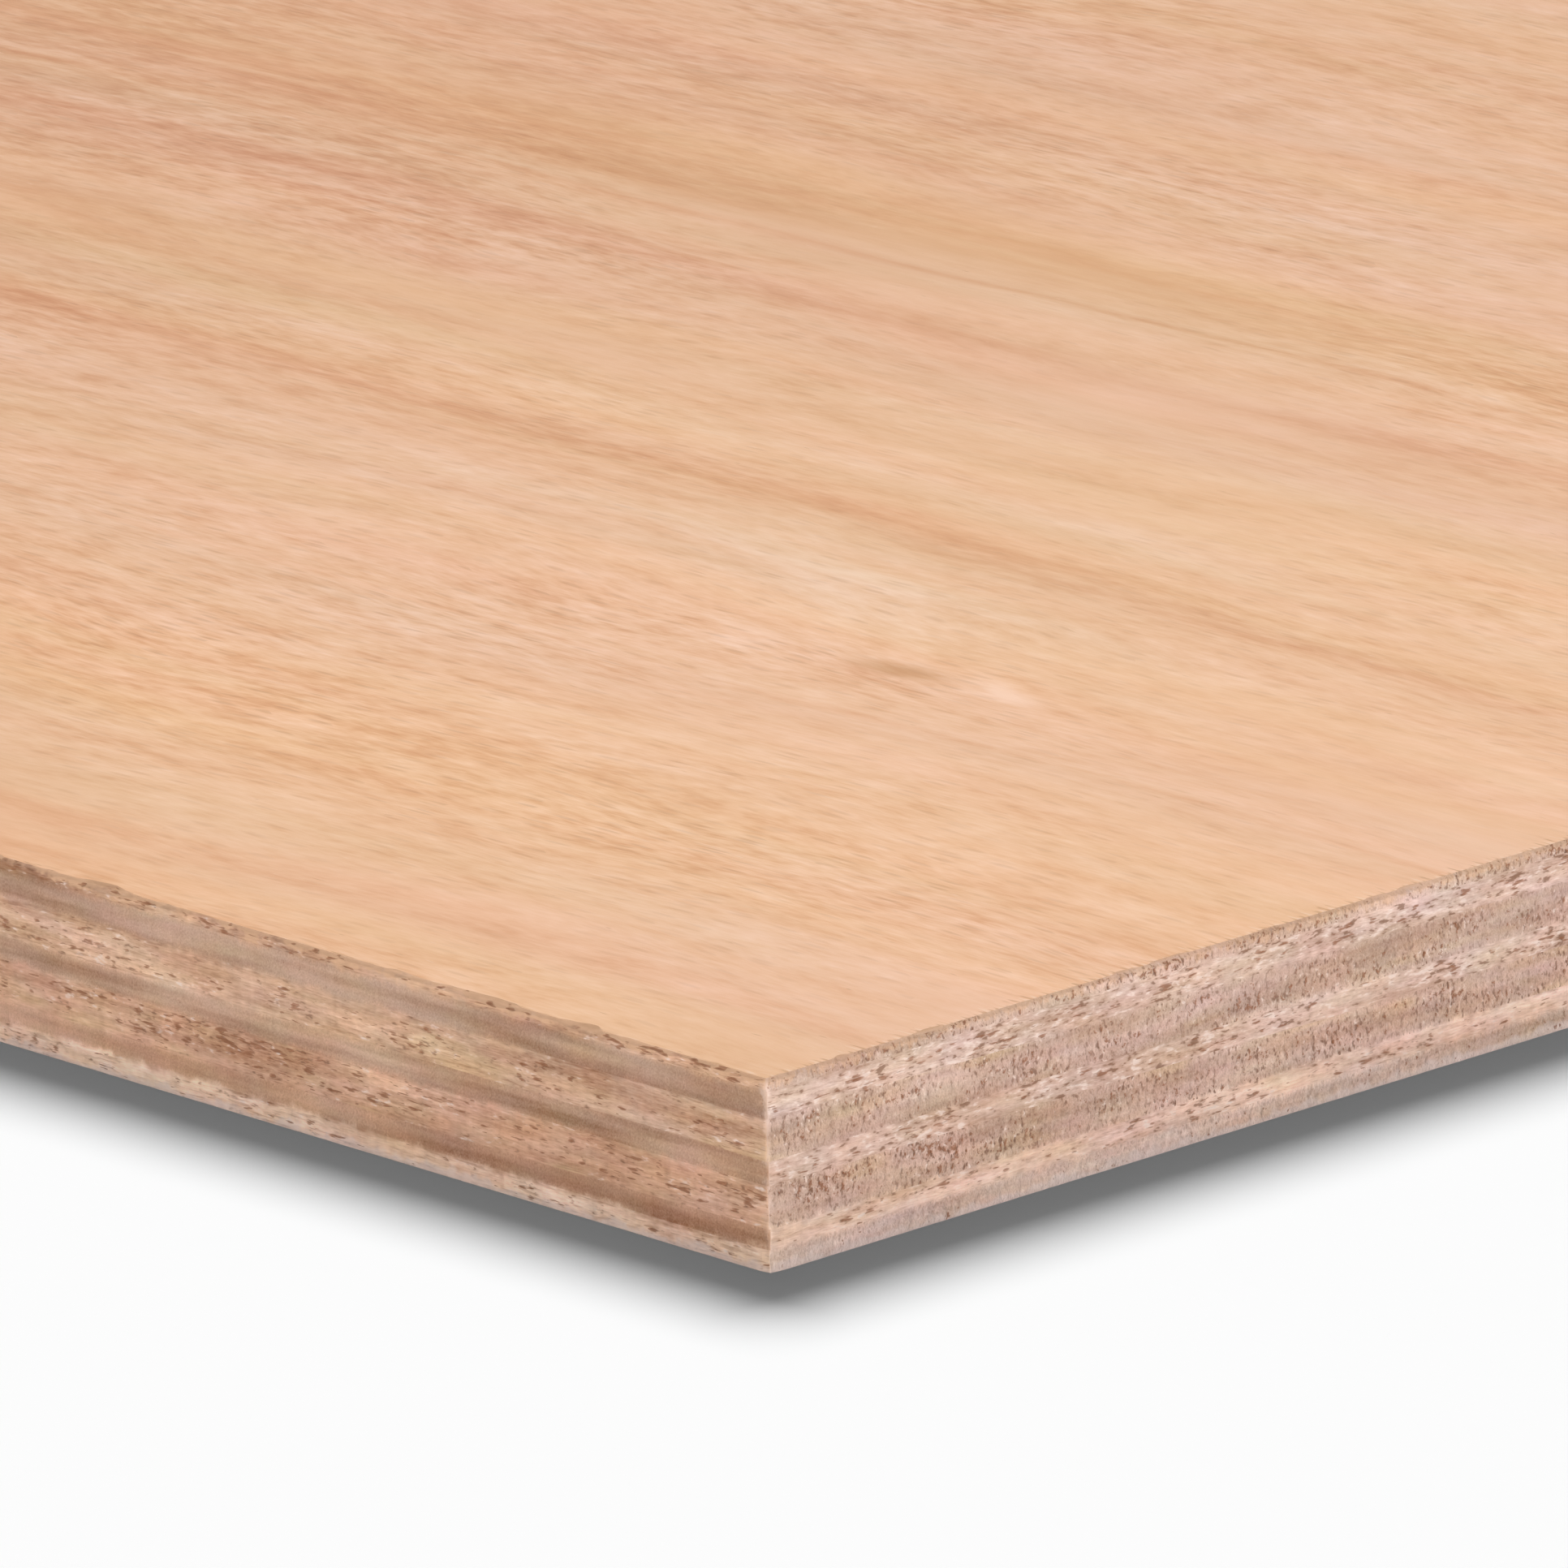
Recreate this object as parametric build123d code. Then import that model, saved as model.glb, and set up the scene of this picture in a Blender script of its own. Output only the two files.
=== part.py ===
"""A full trade sheet of hardwood plywood, lying flat, built up from its glued veneers.

The plies are peeled veneers, stacked and glued with the grain of each one square to the next.
Frame: +X along the sheet and the grain of its face, +Y across it, +Z up, in millimetres.
The origin is at the middle of the underside.
"""

import os

from build123d import *

# Sheet, as sold
SHEET_LENGTH = 2440.0
SHEET_WIDTH = 1220.0

# Ply thicknesses, sanded and pressed
FACE_VENEER_THICKNESS = 1.2
UPPER_CROSSBAND_THICKNESS = 2.6
UPPER_LONG_CORE_THICKNESS = 3.8
CENTRE_CROSSBAND_THICKNESS = 2.3
LOWER_LONG_CORE_THICKNESS = 4.0
LOWER_CROSSBAND_THICKNESS = 2.0
BACK_VENEER_THICKNESS = 2.1

# Sawn and sanded edges
ARRIS_EASING = 0.25
CORNER_EASING = 0.4

# The lay-up, from the underside to the face
LAY_UP = {
    "back_veneer": BACK_VENEER_THICKNESS,
    "lower_crossband": LOWER_CROSSBAND_THICKNESS,
    "lower_long_core": LOWER_LONG_CORE_THICKNESS,
    "centre_crossband": CENTRE_CROSSBAND_THICKNESS,
    "upper_long_core": UPPER_LONG_CORE_THICKNESS,
    "upper_crossband": UPPER_CROSSBAND_THICKNESS,
    "face_veneer": FACE_VENEER_THICKNESS,
}


def sheet_outline():
    """The sheet in plan, sawn square, with the sharp of its corners taken off."""
    return RectangleRounded(SHEET_LENGTH, SHEET_WIDTH, CORNER_EASING)


def ply(thickness, underside):
    """One veneer of the full sheet, lying on the ply below it."""
    return Pos(0, 0, underside) * extrude(sheet_outline(), thickness)


def ease_arris(veneer, side):
    """Breaks the outer arris of a face or back veneer, where sanding wears it."""
    outer_face = veneer.faces().sort_by(Axis.Z)[side]
    return chamfer(outer_face.edges(), ARRIS_EASING)


def lay_up_sheet():
    """Every ply of the sheet, by name, at its height in the stack."""
    plies = {}
    underside = 0
    for name, thickness in LAY_UP.items():
        plies[name] = ply(thickness, underside)
        underside += thickness
    plies["back_veneer"] = ease_arris(plies["back_veneer"], side=0)
    plies["face_veneer"] = ease_arris(plies["face_veneer"], side=-1)
    return plies


os.makedirs("parts", exist_ok=True)
for name, veneer in lay_up_sheet().items():
    veneer.label = name
    export_step(veneer, os.path.join("parts", f"{name}.step"))
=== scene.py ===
"""A full sheet of hardwood plywood on a white floor, seen at its near corner.

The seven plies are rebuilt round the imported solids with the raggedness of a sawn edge. Each is drawn as
solid wood with its grain along or across the sheet, so its ends and sides differ as they do in timber.
Lengths are in metres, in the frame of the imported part: +X along the sheet, +Z up from its underside.
Textures count their swells by the metre.
"""

import math
from collections import namedtuple

import bpy
import numpy as np
from mathutils import Matrix, Vector


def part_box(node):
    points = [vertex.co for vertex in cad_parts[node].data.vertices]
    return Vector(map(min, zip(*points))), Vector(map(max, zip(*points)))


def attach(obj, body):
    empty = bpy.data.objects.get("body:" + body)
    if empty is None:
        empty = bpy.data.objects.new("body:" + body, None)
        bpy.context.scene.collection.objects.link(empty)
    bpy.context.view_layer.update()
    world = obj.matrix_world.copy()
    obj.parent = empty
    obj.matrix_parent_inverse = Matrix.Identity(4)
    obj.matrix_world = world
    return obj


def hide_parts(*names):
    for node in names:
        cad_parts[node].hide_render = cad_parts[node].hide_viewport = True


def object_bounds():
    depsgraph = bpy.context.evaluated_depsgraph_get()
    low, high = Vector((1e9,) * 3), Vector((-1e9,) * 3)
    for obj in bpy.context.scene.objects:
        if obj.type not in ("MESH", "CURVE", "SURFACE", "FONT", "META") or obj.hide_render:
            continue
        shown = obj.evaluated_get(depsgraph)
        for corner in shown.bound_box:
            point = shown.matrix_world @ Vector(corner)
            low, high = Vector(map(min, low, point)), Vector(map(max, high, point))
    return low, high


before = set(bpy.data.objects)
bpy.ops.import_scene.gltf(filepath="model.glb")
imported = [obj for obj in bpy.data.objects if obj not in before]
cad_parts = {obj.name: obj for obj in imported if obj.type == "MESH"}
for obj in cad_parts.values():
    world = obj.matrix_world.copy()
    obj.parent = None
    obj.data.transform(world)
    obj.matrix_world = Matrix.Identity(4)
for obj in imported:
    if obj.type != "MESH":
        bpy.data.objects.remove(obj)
cad_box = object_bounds()

MM = 0.001

# The camera, as fitted to the photo's edges, in pixels of the photo and in degrees
PHOTO_SIDE = 1932.0
FOCAL_LENGTH = 22369.0
CORNER_ACROSS = 946.5
CORNER_DOWN = 1450.8
CAMERA_DISTANCE = 1.6
CAMERA_AZIMUTH = 47.06
CAMERA_ELEVATION = 16.18
CAMERA_ROLL = -1.35
CAMERA_REACH = 100.0
SENSOR_WIDTH = 36.0

# Light: shares of what renders a colour as it is written, directions and spreads in degrees
KEY_SHARE = 0.81
KEY_AZIMUTH = 227.0
KEY_ELEVATION = 50.5
KEY_SPREAD = 30.0
TOP_SHARE = 0.05
TOP_ELEVATION = 72.0
TOP_SPREAD = 25.0
FILL_SHARE = 0.70
FILL_AZIMUTH = 52.0
FILL_ELEVATION = 6.5
FILL_SPREAD = 8.0
AMBIENT_SHARE = 0.06
WHITE = (1, 1, 1, 1)

# Floor
FLOOR_REACH = 60.0
FLOOR_DROP = 0.1 * MM
FLOOR_WHITE = 0.975

# The sawn edge: columns of points round the sheet, closest at the corner in the photo
CORNER_EASING = 0.4 * MM
ARRIS_EASING = 0.25 * MM
CORNER_STEPS = 4
FINE_STEP = 0.2 * MM
FINE_REACH = 108 * MM
COARSE_STEP = 3.0 * MM
STEP_GROWTH = 0.03
ROW_HEIGHT = 0.26 * MM
LEAST_ROWS = 4

# Random swells of the edge: the fewest round the sheet, and the rows that are spare above it
SEED = 7
LEAST_CELLS = 4
SPARE_ROWS = 3
# How far the saw and the sander leave the edge off true: size along the edge, size up it, depth
SAW_MARKS = ((0.9 * MM, 6.0 * MM, 0.03 * MM), (2.6 * MM, 20.0 * MM, 0.03 * MM))
# Fibres torn out of a long side and of an end: size along the edge, size up it, depth, share left whole
LONG_TEAR = (2.0 * MM, 0.5 * MM, 0.24 * MM, 0.25)
END_TEAR = (0.5 * MM, 1.1 * MM, 0.18 * MM, 0.25)
CROSSBAND_END_TEAR_SHARE = 0.2
# Splinters off the arris of the face: sizes along the edge with their weights, and how far in they run
LONG_SPLINTERS = ((2.6 * MM, 0.7), (8.0 * MM, 0.6))
LONG_SPLINTER_DEPTH = 0.9 * MM
END_SPLINTERS = ((1.5 * MM, 0.7), (5.0 * MM, 0.6))
END_SPLINTER_DEPTH = 0.7 * MM
SPLINTER_LEVEL = 0.15
SPLINTER_DROP_SHARE = 0.4
SPLINTER_CLEARANCE = 3.5 * MM
# The arris of the underside
BACK_EASING = 0.1 * MM
# Dents down the corners of the sheet
DENT_HEIGHT = 1.3 * MM
DENT_REACH = 0.7 * MM
DENT_DEPTH = 0.2 * MM
# Glue lines: size along the edge, rise, and how far in they lie flat
GLUE_WAVES = ((14 * MM, 0.07 * MM), (70 * MM, 0.1 * MM))
GLUE_WAVE_INSET = 14 * MM
# Rings of points in from the edge on both sides of a ply
CAP_INSETS = tuple(inset * MM for inset in (3.5, 7, 14, 30, 60, 120, 240))

# The map that the materials are baked through: shares of its height, and the gap between strips
BAKE_MAP = "OFBake"
SHOWN_SIDE_SHARE = 0.5
HIDDEN_SIDE_SHARE = 0.08
BAKE_GAP = 0.002


# Camera


def towards(azimuth, elevation):
    """The direction out to a point at this azimuth and elevation, in degrees."""
    azimuth = math.radians(azimuth)
    elevation = math.radians(elevation)
    level = math.cos(elevation)
    return Vector((math.sin(azimuth) * level, -math.cos(azimuth) * level, math.sin(elevation)))


def viewing_axes():
    """The camera's right, up and backward directions."""
    azimuth = math.radians(CAMERA_AZIMUTH)
    backward = towards(CAMERA_AZIMUTH, CAMERA_ELEVATION)
    right = Vector((math.cos(azimuth), math.sin(azimuth), 0))
    up = backward.cross(right)
    turn = Matrix.Rotation(math.radians(CAMERA_ROLL), 3, backward)
    return turn @ right, turn @ up, backward


def add_camera():
    """The photo's camera, placed by where it sees the middle of the near corner."""
    low, high = cad_box
    corner = Vector((high.x, low.y, (low.z + high.z) / 2))
    right, up, backward = viewing_axes()
    across = (CORNER_ACROSS - PHOTO_SIDE / 2) / FOCAL_LENGTH * CAMERA_DISTANCE
    down = (CORNER_DOWN - PHOTO_SIDE / 2) / FOCAL_LENGTH * CAMERA_DISTANCE
    data = bpy.data.cameras.new("camera")
    data.sensor_width = SENSOR_WIDTH
    data.lens = SENSOR_WIDTH * FOCAL_LENGTH / PHOTO_SIDE
    data.clip_end = CAMERA_REACH
    camera = bpy.data.objects.new("camera", data)
    place = corner + backward * CAMERA_DISTANCE - right * across + up * down
    turn = Matrix((right, up, backward)).transposed().to_4x4()
    camera.matrix_world = Matrix.Translation(place) @ turn
    bpy.context.scene.collection.objects.link(camera)
    bpy.context.scene.camera = camera


# Node graphs

Swell = namedtuple("Swell", "along across detail gain")
Noise = namedtuple("Noise", "scales detail roughness")

# What Blender's noise runs about
NOISE_MIDDLE = 0.5
# Sockets of Blender's mix node, which has two inputs and an output for each type of value
MIX_FACTOR = 0
MIX_VECTORS = (4, 5)
MIX_VECTOR = 1
MIX_COLOURS = (6, 7)
MIX_COLOUR = 2


class Graph:
    """A node tree, with short names for the nodes that draw wood."""

    def __init__(self, tree):
        self.tree = tree

    def feed(self, socket, value):
        """Links a socket to another node's output, or sets it to a plain value."""
        if isinstance(value, bpy.types.NodeSocket):
            self.tree.links.new(value, socket)
        else:
            socket.default_value = value

    def node(self, kind, inputs=(), **settings):
        """A new node with its settings made and its inputs fed, in order or by their names."""
        made = self.tree.nodes.new(kind)
        for name, value in settings.items():
            setattr(made, name, value)
        for key, value in inputs.items() if isinstance(inputs, dict) else enumerate(inputs):
            self.feed(made.inputs[key], value)
        return made

    def math(self, operation, first, second=0.0, third=0.0):
        """One sum on single values."""
        return self.node("ShaderNodeMath", (first, second, third), operation=operation).outputs[0]

    def add(self, first, second):
        """Two values together."""
        return self.math("ADD", first, second)

    def multiply(self, first, second):
        """One value times another."""
        return self.math("MULTIPLY", first, second)

    def scaled(self, value, gain, offset=0.0):
        """A value times its gain, and moved by an offset."""
        return self.math("MULTIPLY_ADD", value, gain, offset)

    def rest(self, share):
        """What a share leaves of the whole."""
        return self.math("SUBTRACT", 1.0, share)

    def size(self, value):
        """A value without its sign."""
        return self.math("ABSOLUTE", value)

    def total(self, values):
        """The sum of several values."""
        result = values[0]
        for value in values[1:]:
            result = self.add(result, value)
        return result

    def step(self, value, low, high, to_low=0.0, to_high=1.0):
        """A smooth step from low to high."""
        inputs = (value, low, high, to_low, to_high)
        made = self.node("ShaderNodeMapRange", inputs, interpolation_type="SMOOTHSTEP")
        return made.outputs["Result"]

    def vectors(self, operation, *values):
        """One sum on vectors."""
        return self.node("ShaderNodeVectorMath", values, operation=operation).outputs[0]

    def stretch(self, vector, scales):
        """A vector with each of its axes scaled."""
        return self.vectors("MULTIPLY", vector, scales)

    def shift(self, vector, offset):
        """A vector moved by another."""
        return self.vectors("ADD", vector, offset)

    def split(self, vector):
        """The three parts of a vector."""
        return self.node("ShaderNodeSeparateXYZ", (vector,)).outputs[:3]

    def join(self, x, y, z):
        """A vector from its three parts."""
        return self.node("ShaderNodeCombineXYZ", (x, y, z)).outputs[0]

    def noise(self, vector, kind, scales=None):
        """Smooth noise about zero in the round, with so many swells along each axis."""
        inputs = {
            "Vector": self.stretch(vector, scales or kind.scales),
            "Scale": 1.0,
            "Detail": kind.detail,
            "Roughness": kind.roughness,
        }
        made = self.node("ShaderNodeTexNoise", inputs)
        return self.math("SUBTRACT", made.outputs["Fac"], NOISE_MIDDLE)

    def swell(self, vector, kind):
        """Smooth noise about zero on a flat side, drawn out along +X and brought to its gain."""
        inputs = {
            "Vector": self.stretch(vector, (kind.along, kind.across, 0)),
            "Scale": 1.0,
            "Detail": kind.detail,
        }
        made = self.node("ShaderNodeTexNoise", inputs, noise_dimensions="2D")
        return self.scaled(made.outputs["Fac"], kind.gain, -kind.gain * NOISE_MIDDLE)

    def swells(self, vector, kinds):
        """Several swells together."""
        return self.total([self.swell(vector, kind) for kind in kinds])

    def cells(self, vector, scales):
        """The distance from the nearest of scattered points, and a colour that is that point's own."""
        inputs = {"Vector": self.stretch(vector, scales), "Scale": 1.0}
        made = self.node("ShaderNodeTexVoronoi", inputs, voronoi_dimensions="2D")
        return made.outputs["Distance"], made.outputs["Color"]

    def ramp(self, value, stops):
        """A colour for each value, through named stops."""
        made = self.node("ShaderNodeValToRGB", (value,))
        elements = made.color_ramp.elements
        while len(elements) < len(stops):
            elements.new(1.0)
        for element, (position, colour) in zip(elements, stops):
            element.position = position
            element.color = (*colour, 1)
        return made.outputs["Color"]

    def mix(self, factor, first, second):
        """Two colours, mixed."""
        inputs = {MIX_FACTOR: factor}
        for socket, value in zip(MIX_COLOURS, (first, second)):
            inputs[socket] = value if isinstance(value, bpy.types.NodeSocket) else (*value, 1)
        return self.node("ShaderNodeMix", inputs, data_type="RGBA").outputs[MIX_COLOUR]

    def paint(self, colour, value, paint):
        """A colour with a paint over it where a value is in the paint's range."""
        cover = self.step(value, paint.start, paint.full, 0, paint.share)
        return self.mix(cover, colour, paint.colour)

    def choose(self, factor, first, second):
        """One of two vectors."""
        inputs = {MIX_FACTOR: factor, MIX_VECTORS[0]: first, MIX_VECTORS[1]: second}
        return self.node("ShaderNodeMix", inputs, data_type="VECTOR").outputs[MIX_VECTOR]

    def shade(self, colour, amount, weights=(1, 1, 1)):
        """A colour lighter or darker by a share of itself, weighted on its red, green and blue."""
        return self.stretch(colour, self.vectors("MULTIPLY_ADD", amount, weights, (1, 1, 1)))

    def tint(self, colour, rose, warmth):
        """A colour made redder by one share of itself, and yellower by another."""
        return self.stretch(colour, self.join(self.add(rose, 1.0), 1.0, self.rest(warmth)))


# Wood

# A range says where a step starts and where it is done, and then what it gives there, if not 0 and 1
# A paint covers a share of what it is on, in its range
Paint = namedtuple("Paint", "colour share start full")

SPECULAR_LEVEL = 0.1
ROUGHNESS = 0.8
ROUGHNESS_SWING = -0.2
BUMP_STRENGTH = 0.7
FACE_BUMP = 0.04 * MM
EDGE_BUMP = 0.15 * MM

# The face: from its darkest streaks to its palest flecks
FACE_TONES = (
    (0.0, (0.562, 0.278, 0.146)),
    (0.3, (0.662, 0.370, 0.214)),
    (0.5, (0.725, 0.438, 0.273)),
    (0.7, (0.77, 0.486, 0.324)),
    (1.0, (0.83, 0.56, 0.41)),
)
FACE_MIDDLE = 0.475

# Swells of the face, from the lie of its figure down to its fibres
FACE_WANDER = Swell(1.1, 4.0, 1, 70 * MM)
FACE_RIPPLE = Swell(9, 30, 2, 10 * MM)
FACE_BANDS = (
    Swell(0.5, 5, 2, 0.45),
    Swell(1.6, 30, 2, 0.42),
    Swell(3.5, 115, 2, 0.23),
    Swell(30, 150, 3, 0.43),
)
FACE_FIBRES = (Swell(110, 480, 2, 0.56), Swell(260, 1300, 1, 0.28), Swell(480, 3800, 1, 0.26))
# Where fibres are thick or sparse, and where streaks break off
FACE_PATCHES = Swell(7, 24, 2, 3.0)
LEAST_FIBRE_SHARE = 0.2
FACE_BREAKS = Swell(6, 130, 3, 4.0)
# How the face swings between yellow and pink, and the redness that a streak gains as it darkens
FACE_WARMTH = (Swell(2.5, 15, 1, -0.13), Swell(4, 32, 2, 0.22), Swell(12, 110, 2, 0.1))
FACE_ROSE = (Swell(5, 41, 2, 0.09), Swell(15, 137, 2, 0.07))
STREAK_ROSE = -0.07
# Clouds of light and shade, broader and stronger away from the corner in the photo
FACE_CLOUDS = Swell(2.0, 3.2, 2, 0.16)
FAR_CLOUDS = Swell(0.9, 4.0, 2, 0.4)
# The relief of the face
FACE_GRAIN = Swell(60, 2200, 1, 1.0)

# Pores of the face: cells by the metre, which of them have a pore, and where in its cell a pore fades
FACE_PORES = (170, 1150, 0)
FACE_PORE = (0.36, 0.19, 0.10)
FACE_PORE_SHARE = 0.18
FACE_PORE_CHANCE = (0.45, 1.0)
FACE_PORE_SIZE = (0.42, 0.12)

# Streaks over the whole sheet: their swell, the range of it that they show in, tone
FAR_STREAKS = (
    (Swell(0.35, 16, 2, 1.0), 0.06, 0.22, -0.22),
    (Swell(0.6, 60, 1, 1.0), 0.12, 0.3, -0.18),
)
# Streaks near the corner in the photo: distance from the front edge and half width in mm, tone
NEAR_STREAKS = (
    (214, 10, -0.11),
    (205, 1.6, -0.15),
    (188, 8, -0.15),
    (168, 4, -0.07),
    (133, 7.5, -0.185),
    (86, 1.4, -0.14),
    (58, 24, -0.11),
    (46, 12, -0.08),
    (14, 5, -0.08),
    (116, 12, 0.08),
    (146, 6, 0.11),
)

# Marks near that corner: along and in from it, half length and half width in mm, turn in degrees, tone
Mark = namedtuple("Mark", "along inward half_length half_width turn tone")
FACE_MARKS = (
    Mark(-112, 115, 42, 14, -18.0, 0.2),
    Mark(-74, 100.5, 10, 3.2, -15.0, 0.5),
    Mark(-87, 97, 16, 6, 5.0, -0.2),
    Mark(-222, 148, 12, 2.5, 0.0, 0.35),
    Mark(20, 70, 280, 200, 0.0, 0.08),
    Mark(-320, 160, 170, 110, 0.0, -0.17),
    Mark(-150, 240, 140, 80, 0.0, 0.13),
)
# How far round that corner its own streaks reach
NEAR_CORNER = Mark(0.0, 0.0, 900, 600, 0.0, 1.0)
NEAR_RANGE = (0.0, 0.4)
# A small knot
KNOT = Mark(-86.5, 99.3, 9, 3.2, 8.0, 1.0)
KNOT_BROWN = (0.50, 0.26, 0.12)
KNOT_SHARE = 0.7
# A calm stretch with fewer fibres, and a wider pool of painted light by the corner
CALM = Mark(0.0, 10, 90, 60, 0.0, -0.5)
PAINTED_LIGHT_POOL = Mark(0.0, 110, 310, 300, 0.0, 0.1)

# Far enough along the leaf for the underside to have a figure of its own
BACK_SHIFT = (7.0, 3.0, 0.0)

# Sawn wood: how each ply looks where it is cut along its grain and across it
Cut = namedtuple("Cut", "colour specks flecks ticks streaks")
Ply = namedtuple("Ply", "slot grain long end")
PLIES = {
    # The back veneer and the lower crossband are lighter than the plies above: partly their own paler
    # wood, partly painted light for what the floor's shadow takes from the foot of the edge
    "back_veneer": Ply(
        "back", "X",
        long=Cut((0.965, 0.652, 0.476), -0.05, 1.2, 0.0, 1.0),
        end=Cut((0.78, 0.55, 0.45), -0.1, 1.0, 0.5, 1.0),
    ),
    "lower_crossband": Ply(
        "crossband", "Y",
        long=Cut((0.955, 0.651, 0.508), -0.03, 1.4, 0.0, 1.2),
        end=Cut((0.636, 0.365, 0.239), -0.2, 0.2, 0.0, 1.2),
    ),
    "lower_long_core": Ply(
        "long_core", "X",
        long=Cut((0.725, 0.423, 0.283), 0.03, 1.3, 0.0, 1.0),
        end=Cut((0.676, 0.447, 0.351), -0.02, 1.3, 1.3, 1.0),
    ),
    "centre_crossband": Ply(
        "crossband", "Y",
        long=Cut((0.741, 0.509, 0.405), -0.03, 2.0, 0.0, 1.0),
        end=Cut((0.594, 0.374, 0.256), -0.2, 0.2, 0.0, 1.6),
    ),
    "upper_long_core": Ply(
        "long_core", "X",
        long=Cut((0.719, 0.453, 0.308), 0.0, 1.3, 0.0, 1.0),
        end=Cut((0.605, 0.403, 0.315), -0.03, 1.3, 1.1, 1.0),
    ),
    "upper_crossband": Ply(
        "crossband", "Y",
        long=Cut((0.768, 0.543, 0.442), -0.01, 2.0, 0.0, 1.0),
        end=Cut((0.559, 0.356, 0.251), -0.2, 0.2, 0.0, 1.2),
    ),
    "face_veneer": Ply(
        "face", "X",
        long=Cut((0.655, 0.391, 0.252), 0.015, 1.2, 0.0, 1.0),
        end=Cut((0.672, 0.45, 0.343), 0.0, 1.2, 1.3, 1.0),
    ),
}
# How far a side turns to face along the grain before it looks like an end
END_TURN = (0.35, 0.75)

# Where marks on the edge crowd together, and how ragged their outlines are
CLUSTERS = Noise((140, 140, 320), 1, 0.5)
RAGGED = Noise((450, 450, 450), 2, 0.6)

# Pits where pores and torn fibres open, red at their rims and dark inside, the dark partly their own
# colour and partly painted shade, and fewer by the glue lines
LONG_SPECKS = Noise((600, 600, 1900), 1, 0.5)
END_SPECKS = Noise((1500, 1500, 1300), 1, 0.5)
SPECK_CLUSTER_GAIN = 0.4
SPECK_GRAIN_GAIN = 0.6
SPECK_RIM_SHARE = 0.5
SPECK_RIM_LOSS = -0.1
SPECK_RED = Paint((0.37, 0.15, 0.075), 0.65, 0.13, 0.21)
SPECK_DARK_AND_SHADE = Paint((0.22, 0.09, 0.045), 0.5, 0.2, 0.3)
PIT_RELIEF = -0.5

# Vessels that lie along a cut along the grain
VESSELS = Noise((300, 300, 3300), 1, 0.5)
VESSEL_BROWN = (0.36, 0.165, 0.09)
VESSEL_SHARE = 0.35
CROSSBAND_VESSEL_SHARE = 0.12
VESSEL_RANGE = (0.08, 0.2)
VESSEL_CLUSTER_GAIN = 0.5
VESSEL_RELIEF = -0.3

# Ticks in end grain
END_TICKS = Noise((2200, 2200, 1450), 2, 0.5)
TICK_BROWN = (0.25, 0.13, 0.085)
TICK_SHARE = 0.7
TICK_RANGE = (-0.04, -0.19)
TICK_CLUSTER_RANGE = (-0.2, 0.15, 0.4, 1.0)
TICK_RELIEF = -0.4

# Pale and dark flecks on raised and sunk fibres: partly the wood's own colour, partly painted highlight
# and painted shade
LONG_FLECKS = Noise((640, 640, 1900), 2, 0.65)
END_FLECKS = Noise((1700, 1700, 1500), 2, 0.65)
FLECK_GAIN = 0.6
FLECK_CLUSTER_RANGE = (-0.22, 0.22, 0.65, 1.1)
FLECK_PALE_AND_HIGHLIGHT = Paint((0.92, 0.73, 0.64), 0.75, 0.12, 0.32)
FLECK_DARK_AND_SHADE = Paint((0.25, 0.13, 0.08), 0.7, -0.14, -0.32)

# Tones of the edge, and their weights on its red, green and blue
STREAKS = Noise((48, 48, 700), 2, 0.55)
STREAK_GAIN = 0.9
PATCHES = Noise((38, 38, 190), 2, 0.5)
FRONT_PATCH_GAIN = 1.2
END_PATCH_GAIN = 0.5
SAW_SCORES = Noise((700, 700, 60), 4, 0.7)
SAW_GAIN = 0.3
LONG_GRAIN = Noise((650, 650, 6500), 1, 0.5)
END_GRAIN = Noise((4600, 4600, 4600), 1, 0.5)
GRAIN_GAIN = 0.5
GRAIN_RELIEF = 0.5
HAIRS = Noise((110, 110, 2600), 2, 0.5)
HAIR_GAIN = 1.0
HAIR_PATCH_RANGE = (-0.02, 0.1, 0.15, 1.0)
SAWN_WEIGHTS = (0.82, 1.03, 1.17)
# Crossbands are darker on their ends near the corner in the photo
CORNER_DARKENING = Mark(0.0, 0.0, 75, 75, 0.0, -0.2)

# Hues of the edge, and the yellow of the long cores
SAWN_ROSE = Noise((170, 170, 520), 2, 0.5)
SAWN_ROSE_GAIN = 0.22
SAWN_WARMTH = Noise((120, 120, 430), 2, 0.5)
SAWN_WARMTH_GAIN = 0.34
YELLOWS = Noise((70, 70, 330), 2, 0.5)
CORE_YELLOW = Paint((0.68, 0.46, 0.24), 0.35, 0.02, 0.2)

# The rim of the face, sanded tan: how far below the face it starts and is full
RIM_TAN = (0.75, 0.457, 0.284)
LONG_RIM = Noise((260, 260, 700), 3, 0.6)
END_RIM = Noise((1300, 1300, 450), 3, 0.6)
LONG_RIM_SHARE = 0.85
END_RIM_SHARE = 0.5
RIM_DEPTHS = (0.75 * MM, 0.3 * MM)
RIM_RAGGED = 2.4 * MM
# Where it has splintered, by how far in from the edge it is
TORN_BROWN = (0.46, 0.26, 0.14)
TORN_RIM = Paint(TORN_BROWN, 0.55, 0.35 * MM, 0.9 * MM)
# The rim of the underside, paler towards the bottom, by its height
UNDER_PALE = Paint((0.84, 0.69, 0.65), 0.5, 1.0 * MM, 0.3 * MM)

# Fibres torn and lifted on the face by its edges: how far in they start on ends and on long sides
RIM_FIBRES = Swell(260, 1900, 2, 1.0)
END_FIBRE_REACH = 2.6 * MM
LONG_FIBRE_REACH = 1.2 * MM
RIM_FIBRE_GAIN = 0.3
TORN_FIBRE = Paint(TORN_BROWN, 0.6, 0.26, 0.4)
SLIVER_PALE = Paint((0.86, 0.62, 0.46), 0.6, 0.26, 0.4)

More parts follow.
